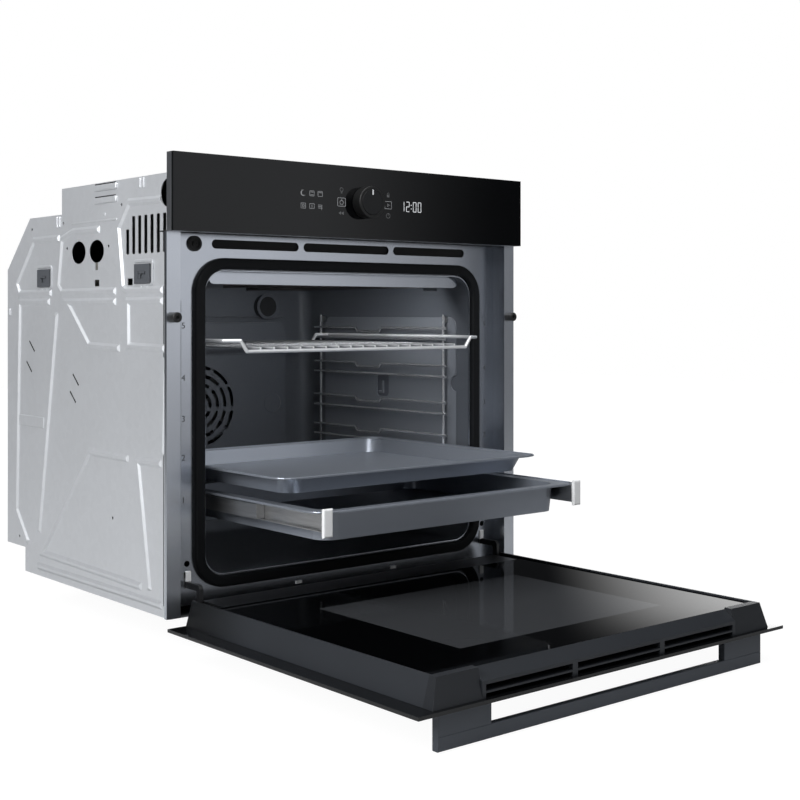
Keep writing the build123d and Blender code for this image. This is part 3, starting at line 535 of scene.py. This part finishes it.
cavity = fired("cavity_enamel", grey(0.066, 1.25), grey(0.080, 1.25))
cavity.cover("cavity_liner", "fan_cover")

wool = Finish("mineral_wool")
fibre = wool.noise(260, 6, Distortion=1.5)
clump = wool.noise(28, 3)
tuft = fibre * 0.6 + clump * 0.4
wool.shine(Base_Color=tuft.mix((0.10, 0.095, 0.085, 1), (0.20, 0.19, 0.17, 1)), Roughness=0.95,
           Normal=wool.bump(fibre + clump, 0.9, 0.003, 0.002))
wool.cover("insulation")

seal = Finish("seal_braid")
slanted = {"wave_type": "BANDS", "bands_direction": "DIAGONAL"}
braid = seal.node("TexWave", settings=slanted, Vector=seal, Scale=300, Distortion=2, Detail=1)
seal.shine(Base_Color=braid.mix(grey(0.002, 1.5), grey(0.004, 1.5)), Roughness=0.55 + braid * 0.2,
           Specular_IOR_Level=0.2, Normal=seal.node("Bump", Strength=0.25, Distance=0.0006, Height=braid))
seal.cover("door_gasket")


def carve(piece, cutter):
    """Cuts one shape out of a piece."""
    bpy.context.view_layer.objects.active = piece
    modify("BOOLEAN", operation="DIFFERENCE", object=cutter)
    bpy.data.objects.remove(cutter)


wall_face = 230
field_middle, field_size, field_corner, field_proud = (228, 227), (314, 344), 14, 1.4
recess_y, recess_z = 238.5, 274
recess_long, recess_high, recess_corner = 31, 38, 7
notch_place, notch_radius = (56, 282.5), 12
cut_through = 20
wall_panels = []
for side in (-1, 1):
    outline((side * wall_face, *field_middle), field_size, (0, -side * 90, 0), field_corner)
    wall_panel = thicken(field_proud)
    recess_size = (cut_through, recess_long, recess_high)
    carve(wall_panel, bar((side * wall_face, recess_y, recess_z), recess_size, recess_corner))
    notch_size = (notch_radius, notch_radius, cut_through)
    start(bpy.ops.mesh.primitive_cylinder_add, (side * wall_face, *notch_place), notch_size, (0, 90, 0),
          radius=1, depth=1, vertices=48)
    carve(wall_panel, shaped())
    modify("BEVEL", width=0.0005, segments=2, limit_method="ANGLE")
    hook_x = side * (wall_face - 1)
    hook_post = bar((hook_x, recess_y, recess_z - 4), (3, 4, 20), 1.2)
    hook_foot = bar((hook_x, recess_y + 4.5, recess_z - 12), (3, 12, 4), 1.2)
    wall_panels += [wall_panel, hook_post, hook_foot]
# The pressed wall panels get a lighter copy of the cavity's enamel: painted light on the side walls.
wall_enamel_lit = fired("wall_enamel_lit", grey(0.125, 1.2), grey(0.145, 1.2))
together("wall_pressings", wall_panels, "oven", wall_enamel_lit)
together("rear_wall_rib", [bar((0, 459.5, 384), (360, 3, 3), 1.2)], "oven", cavity)

# The grill deflector is a real sheet, but it has the frame's light enamel in place of the cavity's dark one:
# painted light for the bright band it shows under the mouth.
deflector_place, deflector_size = (0, 39, 437.5), (430, 18)
outline(deflector_place, deflector_size, facing_front, 8)
together("grill_deflector", [thicken(1.2, 0.4)], "oven", enamel)
bracket_size = (27, 3, 23)
grill_brackets = [bar((side * 188, 70, 435.5), bracket_size, 1) for side in (-1, 1)]
together("grill_brackets", grill_brackets, "oven", cavity)

# The lip round the mouth is a real ring, but it has the frame's light enamel in place of the cavity's dark
# one: a painted highlight along the mouth's edge.
mouth_middle, mouth_size, mouth_corner, lip_wide = (0, 26.6, 247.5), (459.4, 398.4), 29.7, 1.8
outline(mouth_middle, mouth_size, facing_front, mouth_corner, lip_wide, 10)
together("mouth_lip", [thicken(2.4, 0.5)], "oven", enamel)


# Racks, shelf and their studs: bright chromed wire, butt-welded. The fan, the heaters and the lamp are fixed
# through the cavity's walls: bare steel, heat-darkened tube and moulded glass in a ceramic holder.
def plated(name, low, high, metallic, roughness, painted_shade_start=None):
    """Smooth bright plating with a faint cloud in its gloss, darkened by a painted shade behind a given
    start.
    """
    made = Finish(name)
    cloud = made.noise(40, 2)
    tint = cloud.mix(low, high)
    if painted_shade_start is not None:
        tint = made.axes()[1].between(painted_shade_start + 0.006, painted_shade_start + 0.03).mix(tint, grey(0.34, 1.05))
    made.shine(Base_Color=tint, Metallic=metallic, Roughness=roughness + cloud * 0.06)
    return made


rack_chrome = plated("rack_chrome", grey(0.62, 1.03), grey(0.70, 1.03), 0.85, 0.16)
rack_chrome.cover("side_rack_left", "side_rack_right")
wire_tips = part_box("shelf_wires")[0].y
# The shelf and its wires get a lighter, less metallic copy of the racks' chrome: a painted sheen for the
# bright reflection along the shelf.
plated("shelf_chrome_lit", grey(0.82, 1.02), grey(0.90, 1.02), 0.55, 0.2).cover("wire_shelf")
# The shelf's wires darken behind their tips: painted shade.
plated("wire_chrome_lit_and_shaded", grey(0.82, 1.02), grey(0.90, 1.02), 0.55, 0.2, wire_tips).cover("shelf_wires")
metal("turned_steel", grey(0.52), grey(0.66), 0.24, 0.2, (1, 8, 1), 300).cover("rack_studs", "encoder_shaft")
metal("motor_steel", grey(0.10), grey(0.16), 0.42, 0.2, (1, 6, 1), 160).cover(
    "convection_fan", "fan_motor", "blower_wheel", "blower_motor")
metal("heater_tube", (0.11, 0.10, 0.095, 1), (0.17, 0.15, 0.14, 1), 0.42, 0.25, size=70).cover(
    "ring_heater", "grill_element", "bottom_element")

lens = Finish("lamp_lens")
ripple = lens.noise(160, 2)
lens.shine(Base_Color=ripple.mix(grey(0.012, 1.1), grey(0.02, 1.1)), Roughness=0.12 + ripple * 0.08,
           Coat_Weight=0.6, Normal=lens.bump(ripple, 0.25, 0.001, 0.001))
lens.cover("lamp_glass")
low, high = corners("lamp_glass")
lens_radius = (high[0] - low[0]) / 2
ring((low[0] + lens_radius, low[1] + 1, low[2] + lens_radius), lens_radius + 1, 5, facing_front)
together("lamp_bezel", [thicken(2, 0.8)], "oven", cavity)
moulding("lamp_ceramic", (0.62, 0.60, 0.55, 1), (0.74, 0.72, 0.68, 1), 0.6).cover("lamp_holder")


# Trays and runners: two pressed steel trays in blue-grey enamel, the deeper one on telescopic runners of
# drawn steel strip. Each moving strip ends in a silver cap that is pushed on to its front.
tray = enamelled("tray_enamel", grey(0.27, 1.22), grey(0.31, 1.22), 0.62, 0.27)
tray.cover("baking_sheet", "drip_tray")
roll, tray_corner = 2.4, 22
for node, body in (("baking_sheet", "sheet"), ("drip_tray", "runner_slide")):
    low, high = corners(node)
    middle = ((low[0] + high[0]) / 2, (low[1] + high[1]) / 2, high[2] - 1)
    outline(middle, (high[0] - low[0], high[1] - low[1]), (0, 0, 0), tray_corner, roll, 8)
    together(node + "_roll", [thicken(roll, 0.8)], body, tray)
metal("runner_steel", grey(0.42), grey(0.58), 0.26, 0.16, (1, 0.06, 1), 420).cover(
    "runner_outers", "runner_middles", "runner_slides")
cap = Finish("cap_silver")
speck = cap.noise(1500, 2)
cap.shine(Base_Color=speck.mix(grey(0.80), grey(0.88)), Metallic=0.2, Roughness=0.36 + speck * 0.1,
          Normal=cap.bump(speck, 0.06, 0.0002, 0.0006))
cap.cover("runner_caps")


# Fascia: a pane of glass printed black on its back, in a shallow aluminium tray with the controls behind it.
# White marks for the cooking modes are printed round the knob with a faint painted glow, and a clock shines
# through the glass.
black_glass = Finish("fascia_black_glass")
smear = black_glass.noise(14, 4)
black_glass.shine(Base_Color=smear.mix(grey(0.0012, 1.3), grey(0.002, 1.3)), Roughness=0.05 + smear * 0.04,
                  IOR=1.42, Normal=black_glass.eased(0.0008))
black_glass.cover("fascia_glass")
metal("fascia_aluminium", grey(0.36, 1.08), grey(0.46, 1.08), 0.30, 0.14, (0.05, 1, 1), 500).cover(
    "fascia_frame")
control_plastic = moulding("control_plastic", grey(0.012), grey(0.02), 0.5)
control_plastic.cover("control_box", "encoder", "terminal_box", "blower_housing")
moulding("circuit_board", (0.02, 0.13, 0.05, 1), (0.03, 0.20, 0.08, 1), 0.35).cover("control_board")
moulding("display_plastic", grey(0.012), grey(0.02), 0.2).cover("display_module")

fascia_face = -16
ink_depth = 0.12


def ink(name, low, high, glow):
    """White print with a faint glow that is painted light, or a lit mark such as the clock, which really
    glows.
    """
    made = Finish(name)
    shade = made.noise(700, 2).mix(grey(low, 1.04), grey(high, 1.04))
    made.shine(Base_Color=shade, Roughness=0.4, Emission_Color=shade, Emission_Strength=glow)
    return made


def plate_mark(x, z, wide, high, corner=0.0, line=0.0):
    """Printed plate on the fascia, or its outline."""
    outline((x, fascia_face, z), (wide, high), facing_front, corner, line, 3)
    return thicken(ink_depth)


def ring_mark(x, z, radius, line=0.0, sides=32, shift=(0, 0, 0), turn=0):
    """Printed disc, ring, crescent or polygon on the fascia."""
    ring((x, fascia_face, z), radius, line, (90, turn, 0), sides, shift)
    return thicken(ink_depth)


def mode_frame(x, z):
    """Printed oven outline of one cooking mode."""
    return plate_mark(x, z, 8, 7.4, 1, 0.7)


mode_x = (-103, -89, -75.5)
upper_modes, lower_modes = 551, 534
modes = [ring_mark(mode_x[0], upper_modes, 4.2, 0.7, shift=(1, 0, 0.3))]
modes += [mode_frame(mode_x[1], upper_modes), mode_frame(mode_x[2], upper_modes)]
modes += [plate_mark(mode_x[1], upper_modes + rise, 5, 0.7) for rise in (-1.7, 1.7)]
modes += [plate_mark(mode_x[2], upper_modes + 1.7, 5, 0.8)]
modes += [mode_frame(mode_x[0], lower_modes), ring_mark(mode_x[0], lower_modes, 1.9, 0.7)]
modes += [mode_frame(mode_x[1], lower_modes), plate_mark(mode_x[1], lower_modes, 0.8, 4.6)]
modes += [plate_mark(mode_x[2], lower_modes + rise, 7, 0.7) for rise in (-2, 0, 2)]
modes += [plate_mark(mode_x[2] + 2.4, lower_modes - 1, 0.7, 7)]
left_x, right_x = -40, 40.5
modes += [plate_mark(left_x, 542, 14, 12, 1.6, 0.8), ring_mark(left_x, 541.4, 3.2, 0.8)]
modes += [plate_mark(left_x, 545.4, 1, 1.6)]
modes += [plate_mark(right_x, 542, 12.5, 11, 0.6, 0.8), ring_mark(right_x, 542, 2.7, 0.6, sides=3, turn=90)]
# The mode marks glow a little: painted light on printed ink.
together("mode_marks", modes, "oven", ink("mode_ink", 0.16, 0.24, 0.25))

faint = [ring_mark(left_x, 559, 3, 0.7), plate_mark(left_x, 554.6, 2.4, 1)]
faint += [ring_mark(left_x + step, 527, 2.8, sides=3, turn=-90) for step in (-2.4, 2.2)]
faint += [plate_mark(right_x, 555, 4.4, 3.6, 0.6), ring_mark(right_x, 557.6, 1.9, 0.6)]
faint += [ring_mark(right_x, 527, 3.7, 0.8), plate_mark(right_x, 528.2, 0.7, 2.6)]
# The faint marks glow a little: painted light on printed ink.
together("faint_marks", faint, "oven", ink("faint_ink", 0.07, 0.11, 0.2))

# Which of the seven segments are lit: foot, middle, head, low left, low right, high left, high right
segments = {"0": (1, 0, 1, 1, 1, 1, 1), "1": (0, 0, 0, 0, 1, 0, 1), "2": (1, 1, 1, 1, 0, 0, 1)}
digit_wide, digit_high, stroke = 6.2, 14.5, 0.95
clock_z = 541.5
clock = []
for x, digit in ((66.5, "1"), (76, "2"), (88.5, "0"), (97.5, "0")):
    lit = segments[digit]
    for flag, rise in zip(lit[:3], (-0.5, 0, 0.5)):
        if flag:
            level = clock_z + rise * (digit_high - stroke)
            clock.append(plate_mark(x, level, digit_wide - stroke, stroke, 0.3))
    for flag, way, rise in zip(lit[3:], (-0.5, 0.5, -0.5, 0.5), (-0.25, -0.25, 0.25, 0.25)):
        if flag:
            centre = (x + way * (digit_wide - stroke), clock_z + rise * (digit_high - stroke))
            clock.append(plate_mark(*centre, stroke, digit_high / 2 - stroke, 0.3))
clock += [ring_mark(82.2, clock_z + rise, 0.8) for rise in (-2.6, 2.6)]
together("clock_digits", clock, "oven", ink("clock_light", 0.42, 0.5, 0.8))

# Black sheets behind the vent slots and the gap under the fascia close the view past them: painted shade.
vent_shade_sheets = [bar((0, 29, 480.5), (470, 1.2, 24), 0.3), bar((0, 29, 492), (555, 1.2, 9), 0.3)]
vent_shade_sheets.append(bar((0, 13, 493.7), (590, 22, 1.6), 0.4))
together("vent_painted_shade", vent_shade_sheets, "oven", shadow_black)


# Knob: a moulded black cup pushed on to the encoder's shaft, with a satin push face in its mouth. The face is
# turned, which leaves faint rings in its gloss, and has a printed pointer.
moulding("knob_black", grey(0.002), grey(0.004), 0.36).cover("knob_ring")
face = Finish("knob_face")
x, z = face.axes()[::2]
knob_z = 0.543
ring_scale = 90000
reach = (x * x + (z - knob_z) * (z - knob_z)) * ring_scale
face.shine(Base_Color=face.noise(60).mix(grey(0.010, 1.1), grey(0.013, 1.1)), Metallic=0.1,
           Roughness=0.36 + reach.math("SINE", reach) * 0.03, Specular_IOR_Level=0.25,
           Normal=face.eased(0.0005))
face.cover("knob_button")
pointer_place, pointer_size = (0, -34.3, 556.5), (1.8, 7)
outline(pointer_place, pointer_size, facing_front, 0.8, 0, 4)
# The printed pointer glows a little: painted light.
together("knob_pointer", [thicken(0.2)], "knob_face", ink("pointer_ink", 0.6, 0.7, 0.2))


# Hinges: blued steel arms that hook into zinc-plated receptacles behind the front frame, and turn on pins
# in cassettes inside the door's side profiles.
metal("hinge_zinc", grey(0.50, 1.02), grey(0.66, 1.02), 0.24, 0.2, size=200).cover(
    "hinge_receptacles", "hinge_cassettes", "hinge_pins")
metal("hinge_blued", grey(0.05, 1.05), grey(0.09, 1.05), 0.3, 0.2, size=200).cover("hinge_arms")


# Door: an outer pane, a clear middle pane and an inner pane with a black printed border round its window, in
# a frame of satin anthracite profiles, with a trim along the top edge, two corner caps and a bar handle.
def satin(name, low, high):
    """Satin anthracite paint with a fine grain, and a painted shade that darkens it towards the hinge end of
    the door.
    """
    made = Finish(name)
    grain = made.noise(1100, 2)
    # Painted shade: the paint goes near black towards the hinge end of the door.
    hinge_shade_fade = (0 - made.axes()[1]).between(0.26, 0.42)
    paint = hinge_shade_fade.mix(grey(0.003, 1.3), made.noise(8, 3).mix(grey(low, 1.3), grey(high, 1.3)))
    made.shine(Base_Color=paint, Metallic=0.3, Roughness=0.36 + grain * 0.1,
               Normal=made.bump(grain, 0.05, 0.0002, 0.0004))
    return made


satin("profile_anthracite", 0.024, 0.030).cover("door_side_profile_left", "door_side_profile_right",
                                                "door_bottom_profile")
satin("cap_anthracite", 0.016, 0.021).cover("door_corner_caps")
satin("trim_anthracite", 0.022, 0.028).cover("door_top_trim")
satin("handle_anthracite", 0.062, 0.072).cover("handle_bar", "handle_posts")

pane = Finish("door_black_glass")
smear = pane.noise(10, 4)
pane.shine(Base_Color=smear.mix(grey(0.003, 1.2), grey(0.005, 1.2)), Roughness=0.05 + smear * 0.05)
pane.cover("door_outer_glass")

inner = Finish("door_inner_glass")
x, y = inner.axes()[:2]
window_half_wide, window_half_long, window_middle = 0.166, 0.133, -0.52075
print_edge = 0.0005
across = abs(x).between(window_half_wide - print_edge, window_half_wide + print_edge)
along = abs(y - window_middle).between(window_half_long - print_edge, window_half_long + print_edge)
window = (1 - across) * (1 - along)
smear = inner.noise(10, 4)
inner.shine(Base_Color=window.mix(grey(0.0008, 1.3), grey(0.030, 1.12)), Roughness=0.03 + smear * 0.03,
            IOR=1.07)
inner.cover("door_inner_glass")
clear = Finish("door_clear_glass")
clear.shine(Base_Color=clear.noise(10).mix(grey(0.02, 1.1), grey(0.03, 1.1)), Roughness=0.06)
clear.cover("door_middle_glass")
